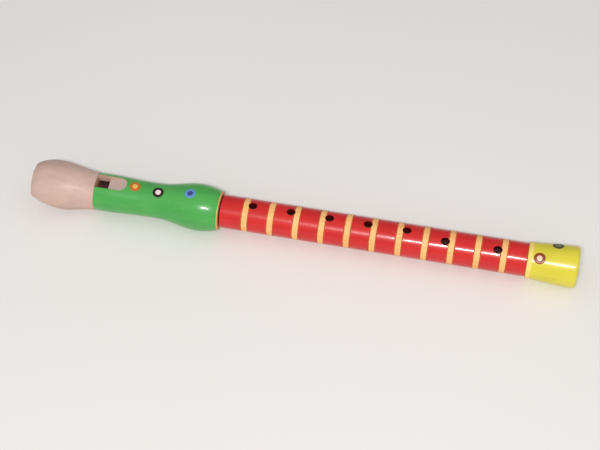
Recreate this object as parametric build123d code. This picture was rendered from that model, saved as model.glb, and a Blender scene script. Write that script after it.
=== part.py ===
from build123d import *
import math
import os

# Soprano recorder in wood, lying on its back with the finger holes up.
# Millimetres. While a piece is being made, X = 0 is the tip of the mouthpiece, +X runs to the foot
# along the axis of the bore, +Z is the side with the window and the finger holes, and Z = 0 is the
# axis. Each finished piece then moves so that the origin is the bottom centre of the whole recorder.

# ---- driving dimensions -------------------------------------------------------------------------
total_length = 320.0
mouthpiece_length = 37.8
head_barrel_length = 74.4
foot_length = 28.8
joint_gap = 0.10            # between the end of a socket and the shoulder it meets

# mouthpiece
mouthpiece_r = 14.7
seam_r = 11.3
seam_round = 0.6
tip_r = 10.3
spigot_r = 8.00             # glued into the head barrel
spigot_length = 6.0
glue_gap = 0.02

# windway and window
block_r = 7.20
windway_width = 8.6
windway_floor_z = 5.9
windway_exit_z = 7.2
windway_entry_z = 8.3
block_exit_chamfer = 0.6
beak_curve_r = 48.0
beak_tip_z = 1.5            # underside of the beak at the tip
beak_tip_slope = 8.0        # degrees
window_width = 9.2
window_length = 7.2
ramp_length = 11.3
lip_z = 7.0
lip_thickness = 0.4
ramp_end_depth = 0.45
undercut_length = 8.0
undercut_drop = 1.4

# head barrel
head_bore_r = 6.5
head_start_r = 11.1
head_waist_r = 10.3
head_bulge_r = 13.8
head_end_r = 11.5
head_start_round = 0.4
head_end_round = 0.7        # left bare of paint

# body
body_r = 9.75
body_bore_top_r = 5.9
body_bore_bottom_r = 5.2
body_bevel_length = 0.9     # dark bevel where the body meets the head
body_bevel_drop = 0.6
ring_count = 11
first_ring_distance = 15.6  # from the head to the middle of the first ring
ring_pitch = 15.0
ring_width = 3.2
ring_line_width = 0.6       # the scored line at each edge of a ring
ring_line_depth = 0.3

# finger holes
hole_r = 2.25
thumb_hole_r = 2.5
hole_rim = 0.35             # countersink at the outer edge
low_hole_turn = 18.0        # the two lowest holes lean to the player's right, in degrees

# tenons, corks and sockets
socket_clearance = 0.30
cork_fit = 0.03             # running fit of each cork, inside and outside
upper_tenon_r = 8.0
upper_tenon_length = 21.5
upper_cork_length = 12.0
lower_tenon_r = 7.6
lower_tenon_length = 14.0
lower_cork_length = 7.0
cork_depth = 1.0
edge = 0.4                  # small chamfer on tenons and sockets

# foot
foot_bore_r = 5.0
foot_start_r = 10.5
foot_start_round = 0.5
foot_rim_length = 2.6       # left bare of paint
foot_rim_r = 10.65
foot_end_r = 12.2
foot_end_round = 1.6
foot_bore_chamfer = 0.8

# ---- places along the axis ----------------------------------------------------------------------
head_start = mouthpiece_length
head_end = head_start + head_barrel_length
foot_start = total_length - foot_length
lip_x = head_start + window_length
ramp_end = lip_x + ramp_length
body_start = head_end + joint_gap
body_end = foot_start - joint_gap
upper_tenon_start = body_start - upper_tenon_length
lower_tenon_end = body_end + lower_tenon_length
upper_socket_start = upper_tenon_start - socket_clearance
lower_socket_end = lower_tenon_end + socket_clearance
first_ring = head_end + first_ring_distance
ring_centres = [first_ring + i * ring_pitch for i in range(ring_count)]

# Six holes sit one and a half ring pitches apart, each a quarter pitch from a ring centre.
# The seventh is two ring pitches below the sixth.
hole_step = 1.5 * ring_pitch
upper_holes = [first_ring + 0.25 * ring_pitch + i * hole_step for i in range(6)]
hole_places = upper_holes + [upper_holes[-1] + 2 * ring_pitch]
hole_turns = [0.0] * 5 + [low_hole_turn] * 2
thumb_hole_x = hole_places[0] - 8.0

# ---- helpers ------------------------------------------------------------------------------------
def turned(edges):
    """Solid of revolution about X from a closed outline of (x, radius) edges."""
    return revolve(make_face(edges), Axis.X, 360)


def outline(points):
    """Closed outline of straight edges through (x, radius) points."""
    return Polyline(*points, close=True)


def rod(radius, start, end):
    """Plain cylinder along X."""
    return Pos((start + end) / 2, 0, 0) * Rot(0, 90, 0) * Cylinder(radius, end - start)


def side_cut(points, width):
    """Prism of a closed (x, z) outline, centred on Y = 0."""
    face = Plane.XZ * make_face(Polyline(*points, close=True))
    return extrude(face, width / 2, both=True)


def block(x_low, x_high, width, z_low, z_high):
    """Box centred on Y = 0."""
    centre = Pos((x_low + x_high) / 2, 0, (z_low + z_high) / 2)
    return centre * Box(x_high - x_low, width, z_high - z_low)


def window_opening():
    """The square mouth, open from the barrel's end to the lip and from the bore to the outside."""
    return block(head_start - glue_gap, lip_x, window_width, 0, 2 * mouthpiece_r)


def socket(radius, closed_end, open_end):
    """Cylindrical socket with a lead-in chamfer at its open end."""
    way = math.copysign(edge, open_end - closed_end)
    return turned(outline([
        (closed_end, 0),
        (closed_end, radius),
        (open_end - way, radius),
        (open_end, radius + edge),
        (open_end + way, radius + edge),
        (open_end + way, 0),
    ]))


def tenon(radius, shoulder, end, cork_length):
    """Tenon with a groove for its cork, chamfered at the free end."""
    way = math.copysign(1, end - shoulder)
    middle = (shoulder + end) / 2
    near = middle - way * cork_length / 2
    far = middle + way * cork_length / 2
    groove_r = radius - cork_depth
    return turned(outline([
        (shoulder, 0),
        (shoulder, radius),
        (near, radius),
        (near, groove_r),
        (far, groove_r),
        (far, radius),
        (end - way * edge, radius),
        (end, radius - edge),
        (end, 0),
    ]))


def cork(tenon_radius, shoulder, end, cork_length):
    """Cork sleeve in the tenon's groove, a running fit on the groove and in the socket."""
    middle = (shoulder + end) / 2
    low = middle - cork_length / 2 + cork_fit
    high = middle + cork_length / 2 - cork_fit
    inner = tenon_radius - cork_depth + cork_fit
    outer = tenon_radius + socket_clearance - cork_fit
    return turned(outline([
        (low, inner),
        (low, outer - edge / 2),
        (low + edge, outer),
        (high - edge, outer),
        (high, outer - edge / 2),
        (high, inner),
    ]))


def finger_hole(x, radius, turn, surface_r):
    """Radial drill with a countersunk rim; turn 0 is straight up, positive leans towards -Y."""
    drill = Pos(0, 0, surface_r / 2 + 1) * Cylinder(radius, surface_r + 2)
    rim_depth = 2 * hole_rim
    rim = Pos(0, 0, surface_r) * Cone(radius, radius + rim_depth, rim_depth)
    return Pos(x, 0, 0) * Rot(turn, 0, 0) * (drill + rim)


# ---- mouthpiece ---------------------------------------------------------------------------------
def beak_cut():
    """The drum that hollows the underside of the beak."""
    tilt = math.radians(beak_tip_slope)
    centre_x = -beak_curve_r * math.sin(tilt)
    centre_z = beak_tip_z - beak_curve_r * math.cos(tilt)
    return Pos(centre_x, 0, centre_z) * Rot(90, 0, 0) * Cylinder(beak_curve_r, 4 * mouthpiece_r)


def windway():
    """Wind channel between the block and the roof, narrowing towards the window."""
    return side_cut([
        (-1, windway_floor_z),
        (-1, windway_entry_z),
        (head_start + glue_gap, windway_exit_z),
        (head_start + glue_gap, windway_floor_z),
    ], windway_width)


def make_mouthpiece():
    barrel = Spline(
        (0.9, 11.8),
        (4.4, 13.3),
        (13.0, mouthpiece_r),
        (22.8, 13.45),
        (32.3, 11.7),
        (head_start - seam_round, seam_r),
    )
    tip = ThreePointArc((0, tip_r), (0.22, 11.15), (0.9, 11.8))
    seam_corner = (head_start, seam_r - seam_round)
    rim = RadiusArc(barrel @ 1, seam_corner, seam_round)
    spigot_end = head_start + spigot_length
    rest = Polyline(
        seam_corner,
        (head_start, spigot_r),
        (spigot_end - edge, spigot_r),
        (spigot_end, spigot_r - edge),
        (spigot_end, 0),
        (0, 0),
        (0, tip_r),
    )
    solid = turned([tip, barrel, rim, rest])
    solid -= rod(block_r, -1, head_start)
    solid -= rod(head_bore_r, -1, spigot_end + 1)
    solid -= windway()
    solid -= beak_cut()
    solid -= window_opening()
    return solid


def make_windway_block():
    plug = rod(block_r - glue_gap, 0.3, head_start - glue_gap)
    plug -= block(-1, head_start + 1, 3 * block_r, windway_floor_z, 2 * block_r)
    exit_x = head_start - glue_gap
    plug -= side_cut([
        (exit_x - block_exit_chamfer, windway_floor_z),
        (exit_x + 1, windway_floor_z),
        (exit_x + 1, windway_floor_z - block_exit_chamfer),
        (exit_x, windway_floor_z - block_exit_chamfer),
    ], 3 * block_r)
    return plug - beak_cut()


# ---- head barrel --------------------------------------------------------------------------------
def labium_cut():
    """The sloping cut behind the lip, with a round far end seen from above."""
    half = window_width / 2
    straight_end = ramp_end - half
    plan = block(lip_x - 1, straight_end, window_width, 0, 2 * mouthpiece_r)
    plan += Pos(straight_end, 0, mouthpiece_r) * Cylinder(half, 2 * mouthpiece_r)
    surface_r = (head_start_r + head_waist_r) / 2
    slope = (surface_r - ramp_end_depth - lip_z) / ramp_length
    above = side_cut([
        (lip_x - 1, lip_z),
        (lip_x, lip_z),
        (ramp_end + 2, lip_z + slope * (ramp_length + 2)),
        (ramp_end + 2, 2 * mouthpiece_r),
        (lip_x - 1, 2 * mouthpiece_r),
    ], 2 * window_width)
    return plan & above


def lip_undercut():
    """Flat under the lip, so that its edge is straight and thin."""
    top = lip_z - lip_thickness
    return side_cut([
        (lip_x - 1, 0),
        (lip_x - 1, top),
        (lip_x, top),
        (lip_x + undercut_length, top - undercut_drop),
        (lip_x + undercut_length, 0),
    ], window_width)


def make_head_barrel():
    shape = Spline(
        (head_start + head_start_round, head_start_r),
        (head_start + 14, 10.95),
        (head_start + 25, 10.45),
        (head_start + 34, head_waist_r),
        (head_start + 42, 10.75),
        (head_start + 52, 12.75),
        (head_start + 60, head_bulge_r),
        (head_start + 69, 12.95),
        (head_end - head_end_round, head_end_r),
    )
    start_corner = (head_start, head_start_r - head_start_round)
    end_corner = (head_end, head_end_r - head_end_round)
    near = RadiusArc(start_corner, shape @ 0, head_start_round)
    rim = RadiusArc(shape @ 1, end_corner, head_end_round)
    rest = Polyline(end_corner, (head_end, 0), (head_start, 0), start_corner)
    solid = turned([near, shape, rim, rest])
    solid -= rod(head_bore_r, head_start - 1, head_end)
    solid -= rod(spigot_r + glue_gap, head_start - 1, head_start + spigot_length + glue_gap)
    solid -= socket(upper_tenon_r + socket_clearance, upper_socket_start, head_end)
    solid -= window_opening()
    solid -= labium_cut()
    solid -= lip_undercut()
    return solid


# ---- body ---------------------------------------------------------------------------------------
def ring_lines():
    """Scored lines at both edges of every ring, as (x, radius) corner points."""
    half = ring_line_width / 2
    points = []
    for centre in ring_centres:
        for side in (-1, 1):
            line_x = centre + side * (ring_width / 2 + half)
            points += [
                (line_x - half, body_r),
                (line_x, body_r - ring_line_depth),
                (line_x + half, body_r),
            ]
    return points


def make_body_tube():
    tube = turned(outline([
        (body_start, 0),
        (body_start, body_r - body_bevel_drop),
        (body_start + body_bevel_length, body_r),
        *ring_lines(),
        (body_end - edge, body_r),
        (body_end, body_r - edge),
        (body_end, 0),
    ]))
    tube += tenon(upper_tenon_r, body_start + 1, upper_tenon_start, upper_cork_length)
    tube += tenon(lower_tenon_r, body_end - 1, lower_tenon_end, lower_cork_length)
    tube -= turned(outline([
        (upper_tenon_start - 1, 0),
        (upper_tenon_start - 1, body_bore_top_r),
        (lower_tenon_end + 1, body_bore_bottom_r),
        (lower_tenon_end + 1, 0),
    ]))
    for x, turn in zip(hole_places, hole_turns):
        tube -= finger_hole(x, hole_r, turn, body_r)
    tube -= finger_hole(thumb_hole_x, thumb_hole_r, 180, body_r)
    return tube


# ---- foot ---------------------------------------------------------------------------------------
def make_foot():
    start_corner = (foot_start, foot_start_r - foot_start_round)
    rim_start = (foot_start + foot_start_round, foot_start_r)
    rim_end = (foot_start + foot_rim_length, foot_rim_r)
    end_corner = (total_length, foot_end_r - foot_end_round)
    near = RadiusArc(start_corner, rim_start, foot_start_round)
    rim = Line(rim_start, rim_end)
    flare = Spline(
        rim_end,
        (foot_start + 10, 11.2),
        (foot_start + 19, 11.95),
        (total_length - foot_end_round, foot_end_r),
    )
    end = RadiusArc(flare @ 1, end_corner, foot_end_round)
    rest = Polyline(end_corner, (total_length, 0), (foot_start, 0), start_corner)
    solid = turned([near, rim, flare, end, rest])
    solid -= socket(lower_tenon_r + socket_clearance, lower_socket_end, foot_start)
    solid -= turned(outline([
        (foot_start, 0),
        (foot_start, foot_bore_r),
        (total_length - foot_bore_chamfer, foot_bore_r),
        (total_length, foot_bore_r + foot_bore_chamfer),
        (total_length + 1, foot_bore_r + foot_bore_chamfer),
        (total_length + 1, 0),
    ]))
    return solid


# ---- write the pieces ---------------------------------------------------------------------------
pieces = {
    "mouthpiece": make_mouthpiece(),
    "windway_block": make_windway_block(),
    "head_barrel": make_head_barrel(),
    "upper_tenon_cork": cork(upper_tenon_r, body_start + 1, upper_tenon_start, upper_cork_length),
    "body_tube": make_body_tube(),
    "lower_tenon_cork": cork(lower_tenon_r, body_end - 1, lower_tenon_end, lower_cork_length),
    "foot": make_foot(),
}

os.makedirs("parts", exist_ok=True)
lowest_z = min(shape.bounding_box().min.Z for shape in pieces.values())
to_base = Pos(-total_length / 2, 0, -lowest_z)
for name, shape in pieces.items():
    export_step(to_base * shape, f"parts/{name}.step")
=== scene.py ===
import math

import bpy
import numpy as np
from mathutils import Matrix, Vector, noise
from mathutils.bvhtree import BVHTree


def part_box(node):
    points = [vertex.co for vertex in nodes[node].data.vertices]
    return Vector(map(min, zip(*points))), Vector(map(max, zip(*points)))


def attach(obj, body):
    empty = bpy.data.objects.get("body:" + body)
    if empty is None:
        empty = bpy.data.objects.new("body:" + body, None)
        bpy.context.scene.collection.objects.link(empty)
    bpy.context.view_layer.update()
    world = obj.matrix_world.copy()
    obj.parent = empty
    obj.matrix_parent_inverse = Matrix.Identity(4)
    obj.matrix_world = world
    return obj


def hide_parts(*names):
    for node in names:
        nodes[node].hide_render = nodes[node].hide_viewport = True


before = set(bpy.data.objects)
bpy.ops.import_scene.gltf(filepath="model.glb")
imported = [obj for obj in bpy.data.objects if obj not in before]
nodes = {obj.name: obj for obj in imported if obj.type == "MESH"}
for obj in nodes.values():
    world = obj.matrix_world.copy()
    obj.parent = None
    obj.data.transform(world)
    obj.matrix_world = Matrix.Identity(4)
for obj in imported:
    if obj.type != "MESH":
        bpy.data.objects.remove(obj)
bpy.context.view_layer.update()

# Looks of the soprano recorder: painted and bare wood, the painted dots, the cork sleeves, a pale
# floor, soft light and the camera. Metres, in the CAD frame, unless a name ends in _mm.

MM = 0.001
TURN = 2 * math.pi

# ---- places read from the frame -----------------------------------------------------------------
body_low, body_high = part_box("body_tube")
head_low, head_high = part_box("head_barrel")
foot_low, foot_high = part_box("foot")
axis_z = (body_low.z + body_high.z) / 2
body_r_mm = (body_high.z - body_low.z) / 2 / MM


# ---- node trees ---------------------------------------------------------------------------------
def srgb(red, green, blue):
    """Linear colour from the usual 0 to 255 values."""
    def linear(value):
        share = value / 255
        if share <= 0.04045:
            return share / 12.92
        return ((share + 0.055) / 1.055) ** 2.4
    return (linear(red), linear(green), linear(blue), 1.0)


class Shader:
    """One material's node tree. Each call adds a node and returns the output that the next one uses."""

    def __init__(self, name):
        self.material = bpy.data.materials.new(name)
        self.material.use_nodes = True
        self.tree = self.material.node_tree
        self.tree.nodes.clear()

    def node(self, kind, inputs, output=0, **settings):
        made = self.tree.nodes.new(kind)
        for key, value in settings.items():
            setattr(made, key, value)
        for key, value in inputs.items():
            if isinstance(value, bpy.types.NodeSocket):
                self.tree.links.new(value, made.inputs[key])
            else:
                made.inputs[key].default_value = value
        return made.outputs[output]

    def math(self, operation, *values, clamp=False):
        inputs = dict(enumerate(values))
        return self.node("ShaderNodeMath", inputs, operation=operation, use_clamp=clamp)

    def vector(self, operation, *values, output="Vector"):
        inputs = dict(enumerate(values))
        return self.node("ShaderNodeVectorMath", inputs, output, operation=operation)

    def place(self):
        """Where a point lies, in millimetres from the axis of the bore. It moves with the piece."""
        here = self.node("ShaderNodeTexCoord", {}, "Object")
        centred = self.vector("SUBTRACT", here, (0, 0, axis_z))
        return self.vector("MULTIPLY", centred, (1 / MM, 1 / MM, 1 / MM))

    def noise(self, place, stretch, detail=2.0, rough=0.5, distortion=0.0):
        """Noise whose cycles per millimetre along X, Y and Z are stretch."""
        inputs = {
            "Vector": self.vector("MULTIPLY", place, stretch),
            "Scale": 1.0,
            "Detail": detail,
            "Roughness": rough,
            "Distortion": distortion,
        }
        return self.node("ShaderNodeTexNoise", inputs, "Fac")

    def between(self, value, low, high):
        """0 at low and 1 at high, smooth between them."""
        inputs = {"Value": value, "From Min": low, "From Max": high}
        return self.node("ShaderNodeMapRange", inputs, interpolation_type="SMOOTHSTEP")

    def scaled(self, value, low, high):
        """A 0 to 1 value spread over low to high."""
        return self.node("ShaderNodeMapRange", {"Value": value, "To Min": low, "To Max": high})

    def mix(self, share, first, second):
        """The first colour at share 0, the second at 1."""
        made = self.tree.nodes.new("ShaderNodeMix")
        made.data_type = "RGBA"
        factor, colour_a, colour_b = made.inputs[0], made.inputs[6], made.inputs[7]
        for socket, value in ((factor, share), (colour_a, first), (colour_b, second)):
            if isinstance(value, bpy.types.NodeSocket):
                self.tree.links.new(value, socket)
            else:
                socket.default_value = value
        return made.outputs[2]

    def bump(self, height, depth_mm, under=None):
        """Normals of a relief this deep, on top of the normals under it."""
        inputs = {"Height": height, "Distance": depth_mm * MM, "Strength": 1.0}
        if under is not None:
            inputs["Normal"] = under
        return self.node("ShaderNodeBump", inputs)

    def rounded(self, radius_mm):
        """Normals that round off sharp edges by this radius."""
        return self.node("ShaderNodeBevel", {"Radius": radius_mm * MM}, samples=4)

    def edge(self, rounded):
        """1 on sharp edges, 0 elsewhere: where the rounded normal leaves the true one."""
        true = self.node("ShaderNodeNewGeometry", {}, "Normal")
        turn = self.vector("DOT_PRODUCT", rounded, true, output="Value")
        return self.between(turn, 0.995, 0.90)

    def surface(self, **inputs):
        """Ends the tree and returns its material. Inputs are named as on the Principled shader."""
        named = {key.replace("_", " "): value for key, value in inputs.items()}
        shader = self.node("ShaderNodeBsdfPrincipled", named)
        output = self.tree.nodes.new("ShaderNodeOutputMaterial")
        self.tree.links.new(shader, output.inputs["Surface"])
        return self.material


# ---- wood ---------------------------------------------------------------------------------------
def growth_rings(shader, place, pith_mm, spacing_mm):
    """0 to 1 across each year's ring, around a wandering pith that runs along X."""
    wander_mm = 9.0
    wander = shader.noise(place, (0.012, 0.05, 0.05), detail=2.0)
    across = shader.vector("MULTIPLY", shader.vector("SUBTRACT", place, pith_mm), (0, 1, 1))
    distance = shader.vector("LENGTH", across, output="Value")
    years = shader.math("DIVIDE", shader.math("MULTIPLY_ADD", wander, wander_mm, distance), spacing_mm)
    part = shader.math("FRACT", years)
    late = shader.between(part, 0.35, 0.92)
    start = shader.between(part, 1.0, 0.94)
    return shader.math("MULTIPLY", late, start)


def flecks(shader, place, stretch, share):
    """Short dark dashes along the grain, in that share of the cells."""
    inputs = {"Vector": shader.vector("MULTIPLY", place, stretch), "Scale": 1.0}
    cell = shader.node("ShaderNodeTexVoronoi", inputs, "Distance")
    tint = shader.node("ShaderNodeTexVoronoi", inputs, "Color")
    chance = shader.vector("DOT_PRODUCT", tint, (1, 0, 0), output="Value")
    kept = shader.math("LESS_THAN", chance, share)
    return shader.math("MULTIPLY", shader.between(cell, 0.34, 0.12), kept)


def wood(name, pale, dark, fleck, pith_mm, spacing_mm=2.6, ring_share=0.5, fleck_share=0.35,
         roughness=(0.45, 0.60), coat=0.0, coat_roughness=0.3, depth_mm=0.02):
    """Fine-grained turned wood. Its pattern is solid, so cuts and bores show it too."""
    fibre_share, cloud_share, fine_share = 0.30, 0.50, 0.15
    fleck_strength, edge_wear, edge_round_mm = 0.40, 0.30, 0.25
    shader = Shader(name)
    place = shader.place()
    rings = growth_rings(shader, place, pith_mm, spacing_mm)
    fibre = shader.noise(place, (0.08, 2.4, 2.4), detail=4.0, rough=0.6)
    fine = shader.noise(place, (0.25, 9.0, 9.0), detail=3.0, rough=0.6)
    cloud = shader.noise(place, (0.05, 0.11, 0.11), detail=2.0)
    lathe = shader.noise(place, (3.0, 0.02, 0.02), detail=2.0)
    dash = flecks(shader, place, (0.42, 3.0, 3.0), fleck_share)

    tone = shader.math("MULTIPLY", rings, ring_share)
    tone = shader.math("MULTIPLY_ADD", shader.between(fibre, 0.35, 0.70), fibre_share, tone)
    tone = shader.math("MULTIPLY_ADD", shader.between(cloud, 0.36, 0.68), cloud_share, tone)
    tone = shader.math("MULTIPLY_ADD", fine, fine_share, tone, clamp=True)
    colour = shader.mix(tone, pale, dark)
    colour = shader.mix(shader.math("MULTIPLY", dash, fleck_strength), colour, fleck)

    soft_edge = shader.rounded(edge_round_mm)
    worn = shader.math("MULTIPLY", shader.edge(soft_edge), shader.between(cloud, 0.30, 0.60))
    colour = shader.mix(shader.math("MULTIPLY", worn, edge_wear), colour, fleck)

    relief = shader.math("MULTIPLY_ADD", fibre, 0.6, shader.math("MULTIPLY", fine, 0.25))
    relief = shader.math("MULTIPLY_ADD", lathe, 0.35, relief)
    relief = shader.math("MULTIPLY_ADD", dash, -0.5, relief)
    sheen_change = shader.math("MULTIPLY_ADD", fibre, 0.5, shader.math("MULTIPLY", cloud, 0.5))
    return shader.surface(
        Base_Color=colour,
        Roughness=shader.scaled(sheen_change, *roughness),
        Normal=shader.bump(relief, depth_mm, soft_edge),
        Coat_Weight=coat,
        Coat_Roughness=coat_roughness,
    )


# ---- paint --------------------------------------------------------------------------------------
def paint(name, light, deep, edge_colour, gloss=(0.24, 0.34), coat=0.35, ripple_mm=0.05):
    """Glossy enamel over turned wood: the grain shows faintly, and it thins out on edges."""
    edge_round_mm, edge_wear, skin_mm = 0.22, 0.45, 0.003
    shader = Shader(name)
    place = shader.place()
    streak = shader.noise(place, (0.05, 1.1, 1.1), detail=3.0, rough=0.6)
    cloud = shader.noise(place, (0.06, 0.09, 0.09), detail=2.0)
    ripple = shader.noise(place, (0.26, 0.12, 0.12), detail=1.0, rough=0.45)
    peel = shader.noise(place, (1.3, 1.3, 1.3), detail=2.0)
    specks = flecks(shader, place, (1.6, 1.9, 1.9), 0.05)

    tone = shader.math("MULTIPLY", shader.between(streak, 0.30, 0.72), 0.5)
    tone = shader.math("MULTIPLY_ADD", shader.between(cloud, 0.35, 0.68), 0.5, tone, clamp=True)
    colour = shader.mix(tone, light, deep)
    soft_edge = shader.rounded(edge_round_mm)
    thin = shader.math("MULTIPLY", shader.edge(soft_edge), shader.between(cloud, 0.25, 0.60))
    colour = shader.mix(shader.math("MULTIPLY", thin, edge_wear), colour, edge_colour)

    waves = shader.bump(ripple, ripple_mm, soft_edge)
    skin = shader.math("MULTIPLY_ADD", peel, 0.5, shader.math("MULTIPLY", streak, 0.8))
    skin = shader.math("MULTIPLY_ADD", specks, 1.5, skin)
    haze = shader.math("MULTIPLY_ADD", peel, 0.4, shader.math("MULTIPLY", cloud, 0.6))
    return shader.surface(
        Base_Color=colour,
        Roughness=shader.scaled(haze, *gloss),
        Specular_IOR_Level=0.35,
        Normal=shader.bump(skin, skin_mm, waves),
        Coat_Weight=coat,
        Coat_Roughness=0.06,
    )


def stain_and_shade(name, light, deep):
    """Stain soaked into bare wood, patchy along the grain. The same mix also gives the painted shade in
    the bores, the holes and the seam at the head joint.
    """
    shader = Shader(name)
    place = shader.place()
    fibre = shader.noise(place, (0.2, 2.2, 2.2), detail=4.0, rough=0.6)
    patch = shader.noise(place, (0.35, 0.35, 0.35), detail=2.0)
    tone = shader.math("MULTIPLY_ADD", fibre, 0.5, shader.math("MULTIPLY", patch, 0.5))
    return shader.surface(
        Base_Color=shader.mix(shader.between(tone, 0.35, 0.65), light, deep),
        Roughness=shader.scaled(patch, 0.55, 0.75),
        Specular_IOR_Level=0.15,
        Normal=shader.bump(fibre, 0.03),
    )


def cork_material():
    """Pressed cork: warm tan cells with darker grains and open pores."""
    shader = Shader("cork")
    place = shader.place()
    inputs = {"Vector": shader.vector("MULTIPLY", place, (1.1, 1.1, 1.1)), "Scale": 1.0}
    cell = shader.node("ShaderNodeTexVoronoi", inputs, "Distance")
    tint = shader.node("ShaderNodeTexVoronoi", inputs, "Color")
    chance = shader.vector("DOT_PRODUCT", tint, (0, 1, 0), output="Value")
    fine = shader.noise(place, (3.0, 3.0, 3.0), detail=5.0, rough=0.7)
    colour = shader.mix(chance, srgb(206, 160, 112), srgb(168, 116, 72))
    colour = shader.mix(shader.between(fine, 0.60, 0.75), colour, srgb(92, 56, 32))
    colour = shader.mix(shader.between(cell, 0.55, 0.85), colour, srgb(122, 78, 46))
    return shader.surface(
        Base_Color=colour,
        Roughness=shader.scaled(fine, 0.75, 0.95),
        Normal=shader.bump(shader.math("MULTIPLY_ADD", cell, -0.6, fine), 0.10),
    )


def floor_material():
    """Plain pale matt floor with the faintest change of tone."""
    shader = Shader("floor")
    here = shader.node("ShaderNodeTexCoord", {}, "Object")
    tone = shader.node("ShaderNodeTexNoise", {"Vector": here, "Scale": 3.0, "Detail": 2.0}, "Fac")
    grit = shader.node("ShaderNodeTexNoise", {"Vector": here, "Scale": 900.0, "Detail": 2.0}, "Fac")
    return shader.surface(
        Base_Color=shader.mix(tone, srgb(236, 233, 230), srgb(229, 225, 222)),
        Roughness=shader.scaled(grit, 0.70, 0.85),
        Normal=shader.bump(grit, 0.02),
    )


# ---- materials on the CAD nodes -----------------------------------------------------------------
class Faces:
    """The faces of a CAD node, as arrays. Places are millimetres from the axis of the bore.

    outward is 1 on faces that look away from the axis, -1 on those that look at it.
    """

    def __init__(self, node):
        mesh = node.data
        count = len(mesh.polygons)
        centres = np.zeros(count * 3)
        normals = np.zeros(count * 3)
        mesh.polygons.foreach_get("center", centres)
        mesh.polygons.foreach_get("normal", normals)
        self.node = node
        self.centre = (centres.reshape(-1, 3) - (0, 0, axis_z)) / MM
        self.normal = normals.reshape(-1, 3)
        self.x = self.centre[:, 0]
        self.radius = np.hypot(self.centre[:, 1], self.centre[:, 2])
        self.outward = (self.normal[:, 1:] * self.centre[:, 1:]).sum(1) / self.radius
        self.points = (np.array([v.co for v in mesh.vertices]) - (0, 0, axis_z)) / MM

    def lean(self):
        """How far each face's normal leans off the radius through it: 0 on surfaces made by turning."""
        y, z = self.centre[:, 1], self.centre[:, 2]
        return np.abs(self.normal[:, 1] * z - self.normal[:, 2] * y) / self.radius

    def assign(self, materials, choice):
        """Gives each face the material at its index in choice."""
        mesh = self.node.data
        mesh.materials.clear()
        for material in materials:
            mesh.materials.append(material)
        mesh.polygons.foreach_set("material_index", choice.astype(np.int32))
        mesh.update()


mouth_wood = wood("mouthpiece_wood", srgb(208, 176, 162), srgb(186, 156, 142), srgb(164, 124, 106),
                  (0, 96, -58), spacing_mm=3.4, ring_share=0.16, fleck_share=0.30,
                  roughness=(0.46, 0.58), coat=0.08, coat_roughness=0.24)
cut_wood = wood("cut_wood", srgb(216, 180, 156), srgb(194, 158, 136), srgb(160, 116, 92),
                (0, -66, -44), ring_share=0.25, roughness=(0.55, 0.72), depth_mm=0.03)
ramp_wood = wood("ramp_wood", srgb(204, 181, 170), srgb(188, 163, 152), srgb(160, 126, 108),
                 (0, -80, -60), ring_share=0.15, roughness=(0.50, 0.66))
block_wood = wood("block_wood", srgb(182, 122, 98), srgb(148, 90, 68), srgb(102, 56, 40),
                  (0, 25, -55), spacing_mm=1.8, ring_share=0.5, roughness=(0.60, 0.78), depth_mm=0.03)
ring_wood = wood("ring_wood", srgb(250, 194, 124), srgb(238, 172, 104), srgb(198, 126, 70),
                 (0, -70, -48), ring_share=0.30, roughness=(0.50, 0.66), depth_mm=0.025)
rim_wood = wood("rim_wood", srgb(236, 180, 112), srgb(220, 158, 92), srgb(180, 112, 62),
                (0, 78, -46), ring_share=0.30, roughness=(0.50, 0.66), depth_mm=0.025)
foot_rim_wood = wood("foot_rim_wood", srgb(250, 222, 122), srgb(238, 204, 104), srgb(200, 150, 72),
                     (0, 78, -46), ring_share=0.30, roughness=(0.50, 0.66), depth_mm=0.025)
green = paint("green_paint", srgb(78, 168, 76), srgb(64, 156, 70), srgb(132, 188, 112))
red = paint("red_paint", srgb(210, 32, 28), srgb(194, 22, 24), srgb(214, 84, 62))
yellow = paint("yellow_paint", srgb(222, 208, 60), srgb(208, 196, 52), srgb(236, 222, 124))
line_stain = stain_and_shade("line_stain", srgb(214, 116, 66), srgb(176, 84, 46))
# Painted shade: near-black brown on the body's shoulder bevel at the head joint, in place of the shade in
# the gap between head and body.
seam_shade = stain_and_shade("seam_shade", srgb(104, 44, 30), srgb(70, 26, 16))
# Finger hole walls and countersinks: red paint carried into the holes, darkened to near black as painted
# shade deep in the holes.
hole_paint_and_shade = stain_and_shade("hole_paint_and_shade", srgb(96, 12, 6), srgb(56, 4, 2))
# Painted shade: dark brown inside the bores, where the inside of the tube lies in shade.
bore_shade = stain_and_shade("bore_shade", srgb(92, 62, 56), srgb(66, 42, 42))
cork = cork_material()


def dress_head():
    """Green outside, bare wood where the window and ramp are cut and on the end rim, and a bore painted
    dark brown as painted shade.
    """
    green_slot, cut_slot, rim_slot, ramp_slot, bore_shade_slot = range(5)
    rim_mm, socket_r_mm, ramp_end_mm = 0.6, 8.2, 20
    faces = Faces(nodes["head_barrel"])
    by_window = faces.x < head_low.x / MM + ramp_end_mm
    ramp = by_window & (faces.normal[:, 0] < -0.15) & (faces.normal[:, 2] > 0.9)
    choice = np.where(faces.outward > 0.02, green_slot, cut_slot)
    choice[(faces.outward < -0.7) & (faces.radius < socket_r_mm)] = bore_shade_slot
    choice[ramp] = ramp_slot
    choice[faces.x > head_high.x / MM - rim_mm] = rim_slot
    faces.assign([green, cut_wood, rim_wood, ramp_wood, bore_shade], choice)


def ring_edges(faces):
    """Places along X of the scored lines, read from the bottoms of the grooves, clear of the holes."""
    shallowest_mm, deepest_mm = 0.2, 0.35
    y, z = faces.points[:, 1], faces.points[:, 2]
    radius = np.hypot(y, z)
    depth = body_r_mm - radius
    beside = (y > 0) & (np.abs(z) < 0.3 * radius)
    groove = beside & (depth > shallowest_mm) & (depth < deepest_mm)
    return np.unique(np.round(faces.points[groove, 0], 1))


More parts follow.
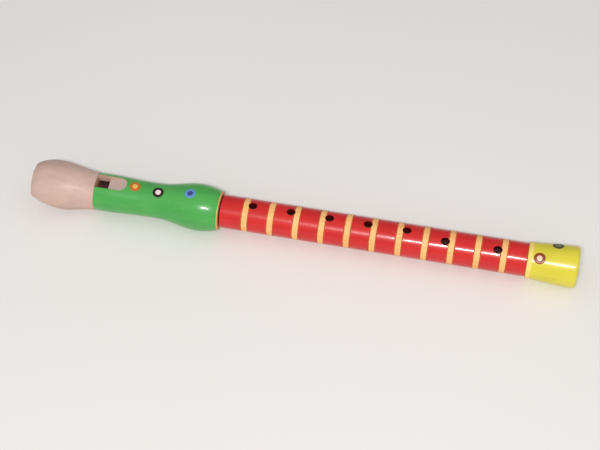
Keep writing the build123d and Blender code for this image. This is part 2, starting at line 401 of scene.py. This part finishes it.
def dress_body():
    """Red bands between bare rings, stained lines at the rings' edges, red paint darkened with painted
    shade in the holes, and painted shade in the bore and on the seam at the head joint.
    """
    red_slot, ring_slot, line_slot, wood_slot, hole_paint_and_shade_slot, bore_shade_slot, seam_shade_slot = range(7)
    paint_mm, bevel_mm, bore_r_mm, end_band_mm = 0.03, 0.61, 5.0, 9
    faces = Faces(nodes["body_tube"])
    lines = ring_edges(faces)
    on_ring = np.zeros(len(faces.x), bool)
    for start, end in zip(lines[0::2], lines[1::2]):
        on_ring |= (faces.x > start) & (faces.x < end)
    depth = body_r_mm - faces.radius
    before_bands, after_bands = faces.x < lines[0] - end_band_mm, faces.x > lines[-1] + end_band_mm
    skin = depth < paint_mm
    bevel = (depth < bevel_mm) & (faces.outward > 0.6) & ~skin
    hole = (np.abs(faces.outward) < 0.75) & (faces.radius > bore_r_mm) & ~skin

    choice = np.full(len(faces.x), wood_slot)
    # hole walls: red paint darkened with painted shade
    choice[hole & ~before_bands & ~after_bands] = hole_paint_and_shade_slot
    choice[bevel] = line_slot
    # countersinks round the holes get the same red paint darkened with painted shade
    choice[bevel & (faces.lean() > 0.02)] = hole_paint_and_shade_slot
    # the shoulder bevel at the head joint gets the painted seam shade
    choice[bevel & before_bands] = seam_shade_slot
    choice[skin] = red_slot
    choice[skin & on_ring] = ring_slot
    # the bore gets dark brown painted shade
    choice[faces.outward < -0.85] = bore_shade_slot
    faces.assign([red, ring_wood, line_stain, cut_wood, hole_paint_and_shade, bore_shade, seam_shade], choice)


def dress_foot():
    """Yellow outside and on the end face, with a bare rim at the socket and a bare bore."""
    yellow_slot, cut_slot, rim_slot = range(3)
    rim_mm, end_face_mm = 2.6, 0.01
    faces = Faces(nodes["foot"])
    end_face = faces.x > foot_high.x / MM - end_face_mm
    choice = np.where((faces.outward > 0.02) | end_face, yellow_slot, cut_slot)
    choice[faces.x < foot_low.x / MM + rim_mm] = rim_slot
    faces.assign([yellow, cut_wood, foot_rim_wood], choice)


def dress_mouthpiece():
    """Bare pale wood, with the bore where the spigot shows through the window painted dark brown as
    painted shade.
    """
    wood_slot, bore_shade_slot = range(2)
    faces = Faces(nodes["mouthpiece"])
    in_window = faces.x > head_low.x / MM
    choice = np.where(in_window & (faces.outward < -0.7), bore_shade_slot, wood_slot)
    faces.assign([mouth_wood, bore_shade], choice)


def dress_block():
    mesh = nodes["windway_block"].data
    mesh.materials.clear()
    mesh.materials.append(block_wood)


dress_mouthpiece()
dress_block()
dress_head()
dress_body()
dress_foot()


# ---- added pieces -------------------------------------------------------------------------------
def add_piece(name, verts, faces, material, body):
    """A smooth mesh that moves with the body."""
    mesh = bpy.data.meshes.new(name)
    mesh.from_pydata(verts, [], faces)
    mesh.materials.append(material)
    mesh.shade_smooth()
    piece = bpy.data.objects.new(name, mesh)
    bpy.context.scene.collection.objects.link(piece)
    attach(piece, body)
    return piece


# ---- painted dots -------------------------------------------------------------------------------
def surface_radius(tree, x, turn):
    """Radius of the outside at a place along X and an angle from straight up towards -Y."""
    well_outside = 0.05
    out = Vector((0, -math.sin(turn), math.cos(turn)))
    start = Vector((x, 0, axis_z)) + out * well_outside
    hit = tree.ray_cast(start, -out)[0]
    return (hit - Vector((x, 0, axis_z))).length


def dot_shape(tree, x, turn, inner_mm, outer_mm, height_mm, seed):
    """Vertices and faces of a thin dome of paint that follows the turned surface.

    It is a ring where inner_mm isn't 0. Its lower side is sunk a little below the surface.
    """
    around, across = 72, 10
    sunk_mm, wobble, lobes = 0.05, 0.035, 1.3
    base_r = surface_radius(tree, x, turn)
    upper, lower = [], []

    def outline(radius_mm, angle):
        wave = noise.noise(Vector((math.cos(angle) * lobes, math.sin(angle) * lobes, seed)))
        return radius_mm * (1 + wobble * wave)

    def add_point(radius_mm, angle, share):
        """A point of the upper side and the one below it; share runs over the dome's section."""
        along = x + radius_mm * MM * math.cos(angle)
        at = turn + radius_mm * MM * math.sin(angle) / base_r
        surface = surface_radius(tree, along, at)
        lift_mm = height_mm * (1 - abs(2 * share - 1) ** 4) ** 0.5
        for side, radius in ((upper, surface + lift_mm * MM), (lower, surface - sunk_mm * MM)):
            side.append(Vector((along, -radius * math.sin(at), axis_z + radius * math.cos(at))))

    rows = []
    if not inner_mm:
        add_point(0, 0, 0.5)
        rows.append([0] * around)
    for step in range(len(rows), across + 1):
        share = step / across
        rows.append(list(range(len(upper), len(upper) + around)))
        for k in range(around):
            angle = TURN * k / around
            low, high = outline(inner_mm, angle), outline(outer_mm, angle)
            add_point(low + (high - low) * share, angle, share if inner_mm else 0.5 + share / 2)

    faces, down = [], len(upper)
    for row, after in zip(rows, rows[1:]):
        for k in range(around):
            n = (k + 1) % around
            corners = [row[k], after[k], after[n], row[n]]
            top = corners[:3] if row[k] == row[n] else corners
            faces += [top, [index + down for index in reversed(top)]]
    for k in range(around):
        n = (k + 1) % around
        outer = rows[-1]
        faces.append([outer[k], outer[k] + down, outer[n] + down, outer[n]])
        if inner_mm:
            inner = rows[0]
            faces.append([inner[n], inner[n] + down, inner[k] + down, inner[k]])
    return upper + lower, faces


def paint_dots(node_name, body, dots):
    """Each dot is a ring with a spot in its middle: (name, mm from the node's start, degrees, colours)."""
    ring_mm, spot_mm, overlap_mm = 3.3, 1.7, 0.1
    ring_height_mm, spot_height_mm = 0.09, 0.1125
    deeper, seed_step = 0.9, 3.7
    mesh = nodes[node_name].data
    points = [vertex.co.copy() for vertex in mesh.vertices]
    tree = BVHTree.FromPolygons(points, [face.vertices[:] for face in mesh.polygons])
    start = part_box(node_name)[0].x
    for index, (name, along_mm, degrees, ring_colour, spot_colour) in enumerate(dots):
        x, turn = start + along_mm * MM, math.radians(degrees)
        for part, inner_mm, outer_mm, height_mm, colour in (
            ("ring", spot_mm - overlap_mm, ring_mm, ring_height_mm, ring_colour),
            ("spot", 0, spot_mm, spot_height_mm, spot_colour),
        ):
            light, deep = srgb(*colour), srgb(*[deeper * value for value in colour])
            material = paint(f"{name}_{part}_paint", light, deep, edge_colour=light,
                             gloss=(0.34, 0.46), coat=0.12, ripple_mm=0.02)
            shape = dot_shape(tree, x, turn, inner_mm, outer_mm, height_mm, index * seed_step)
            add_piece(f"{name}_{part}", *shape, material, body)


paint_dots("head_barrel", "head", [
    ("orange_dot", 23.5, 0, (196, 112, 30), (254, 186, 96)),
    ("black_dot", 37.6, 8, (30, 10, 4), (255, 226, 216)),
    ("blue_dot", 56.9, 4, (96, 150, 204), (66, 66, 140)),
])
paint_dots("foot", "foot", [
    ("brown_dot", 6.6, 26, (152, 56, 4), (246, 212, 186)),
    ("olive_dot", 16.0, -29, (78, 74, 46), (120, 116, 80)),
])


# ---- cork sleeves -------------------------------------------------------------------------------
def cork_sleeve(node_name, body, seed):
    """Cork wrapped on the tenon: grained and pitted outside, with a slanting glued seam."""
    low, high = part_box(node_name)
    outer_mm = (high.z - low.z) / 2 / MM
    points = np.array([v.co for v in nodes[node_name].data.vertices]) - (0, 0, axis_z)
    inner_mm = np.hypot(points[:, 1], points[:, 2]).min() / MM
    length_mm = (high.x - low.x) / MM
    cell_mm, corner_mm = 0.22, 0.35
    grain_mm, pit_mm, seam_mm, seam_width_mm = 0.035, 0.30, 0.10, 0.12
    seam_turn, seam_slant = 0.9, 0.5
    grain_per_mm, pits_per_grain, pit_level = 1.4, 1.9, 0.28
    around, along = 220, max(12, int(length_mm / cell_mm))

    def outside(x_mm, angle):
        from_end = min(x_mm, length_mm - x_mm)
        drop = max(0.0, corner_mm - from_end) ** 2 / corner_mm
        at = Vector((x_mm, math.cos(angle) * outer_mm, math.sin(angle) * outer_mm)) * grain_per_mm
        grain = (1 + noise.noise(at + Vector((seed, 0, 0)))) / 2
        pit = max(0.0, noise.noise(at * pits_per_grain + Vector((0, seed, 0))) - pit_level)
        seam_at = seam_turn + seam_slant * (x_mm / length_mm - 0.5)
        seam = math.exp(-((angle - seam_at) * outer_mm / seam_width_mm) ** 2)
        return outer_mm - drop - grain_mm * grain - pit_mm * pit - seam_mm * seam

    def inside(x_mm, angle):
        return inner_mm

    verts, faces = [], []
    for radius_mm in (outside, inside):
        for i in range(along + 1):
            x_mm = length_mm * i / along
            for k in range(around):
                angle = TURN * k / around
                radius = radius_mm(x_mm, angle) * MM
                y, z = -radius * math.sin(angle), radius * math.cos(angle)
                verts.append((low.x + x_mm * MM, y, axis_z + z))
    layer = (along + 1) * around
    for i in range(along):
        for k in range(around):
            n = (k + 1) % around
            quad = [i * around + k, i * around + n, (i + 1) * around + n, (i + 1) * around + k]
            faces.append(quad[::-1])
            faces.append([index + layer for index in quad])
    for i in (0, along):
        for k in range(around):
            a, b = i * around + k, i * around + (k + 1) % around
            side = [a, b, b + layer, a + layer]
            faces.append(side if i == 0 else side[::-1])
    piece = add_piece(node_name + "_looks", verts, faces, cork, body)
    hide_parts(node_name)


cork_sleeve("upper_tenon_cork", "upper_cork", 3.1)
cork_sleeve("lower_tenon_cork", "lower_cork", 8.6)


# ---- stage --------------------------------------------------------------------------------------
def lowest_point(node_name):
    """The point of a CAD node that the floor touches."""
    return min((v.co for v in nodes[node_name].data.vertices), key=lambda point: point.z).copy()


def lay_floor():
    """Large plane that touches the head's bulge and the foot, as the recorder lies."""
    half_size = 8.0
    near, far = lowest_point("head_barrel"), lowest_point("foot")
    tilt = math.atan2(far.z - near.z, far.x - near.x)
    mesh = bpy.data.meshes.new("floor")
    corners = [(-half_size, -half_size, 0), (half_size, -half_size, 0),
               (half_size, half_size, 0), (-half_size, half_size, 0)]
    mesh.from_pydata(corners, [], [(0, 1, 2, 3)])
    mesh.materials.append(floor_material())
    floor = bpy.data.objects.new("floor", mesh)
    bpy.context.scene.collection.objects.link(floor)
    floor.location = near
    floor.rotation_euler = (0, -tilt, 0)


def softbox(name, aim, direction, distance, width, depth, power):
    """Rectangular area light that faces aim from that direction, its width along X."""
    data = bpy.data.lights.new(name, "AREA")
    data.shape = "RECTANGLE"
    data.size = width
    data.size_y = depth
    data.energy = power
    light = bpy.data.objects.new(name, data)
    bpy.context.scene.collection.objects.link(light)
    away = Vector(direction).normalized()
    light.location = aim + away * distance
    light.rotation_euler = away.to_track_quat("Z", "Y").to_euler()


def light_world(strength):
    """Even pale surroundings, brightest above the front and dimmer behind."""
    brightest = (0, -0.6, 0.8)
    world = bpy.data.worlds.new("surroundings")
    bpy.context.scene.world = world
    world.use_nodes = True
    tree = world.node_tree
    tree.nodes.clear()
    where = tree.nodes.new("ShaderNodeTexCoord")
    facing = tree.nodes.new("ShaderNodeVectorMath")
    ramp = tree.nodes.new("ShaderNodeValToRGB")
    glow = tree.nodes.new("ShaderNodeBackground")
    output = tree.nodes.new("ShaderNodeOutputWorld")
    facing.operation = "DOT_PRODUCT"
    facing.inputs[1].default_value = brightest
    ramp.color_ramp.elements[0].color = (0.46, 0.47, 0.49, 1)
    ramp.color_ramp.elements[1].color = (1.0, 0.99, 0.97, 1)
    ramp.color_ramp.elements[1].position = 0.9
    glow.inputs["Strength"].default_value = strength
    tree.links.new(where.outputs["Generated"], facing.inputs[0])
    tree.links.new(facing.outputs["Value"], ramp.inputs["Fac"])
    tree.links.new(ramp.outputs["Color"], glow.inputs["Color"])
    tree.links.new(glow.outputs["Background"], output.inputs["Surface"])


def set_camera():
    """Seen from above and the foot's side, as far off as fills the frame with the recorder."""
    azimuth, elevation, roll = math.radians(11.98), math.radians(53.59), math.radians(-0.60)
    distance = 0.9057
    aim = Vector((-0.0006, -0.0012, axis_z))
    back = Vector((
        math.sin(azimuth) * math.cos(elevation),
        -math.cos(azimuth) * math.cos(elevation),
        math.sin(elevation),
    ))
    data = bpy.data.cameras.new("camera")
    data.sensor_width = 36.0
    data.lens = 93.75
    data.clip_start, data.clip_end = 0.02, 50.0
    camera = bpy.data.objects.new("camera", data)
    bpy.context.scene.collection.objects.link(camera)
    camera.location = aim + back * distance
    turned = (-back).to_track_quat("-Z", "Y").to_matrix() @ Matrix.Rotation(roll, 3, "Z")
    camera.rotation_euler = turned.to_euler()
    bpy.context.scene.camera = camera


lay_floor()
centre = Vector((0, 0, axis_z))
softbox("key", centre, (0.08, -0.59, 0.80), 1.20, 0.24, 0.07, 8.6)
light_world(0.66)
set_camera()
bpy.context.scene.view_settings.view_transform = "Standard"
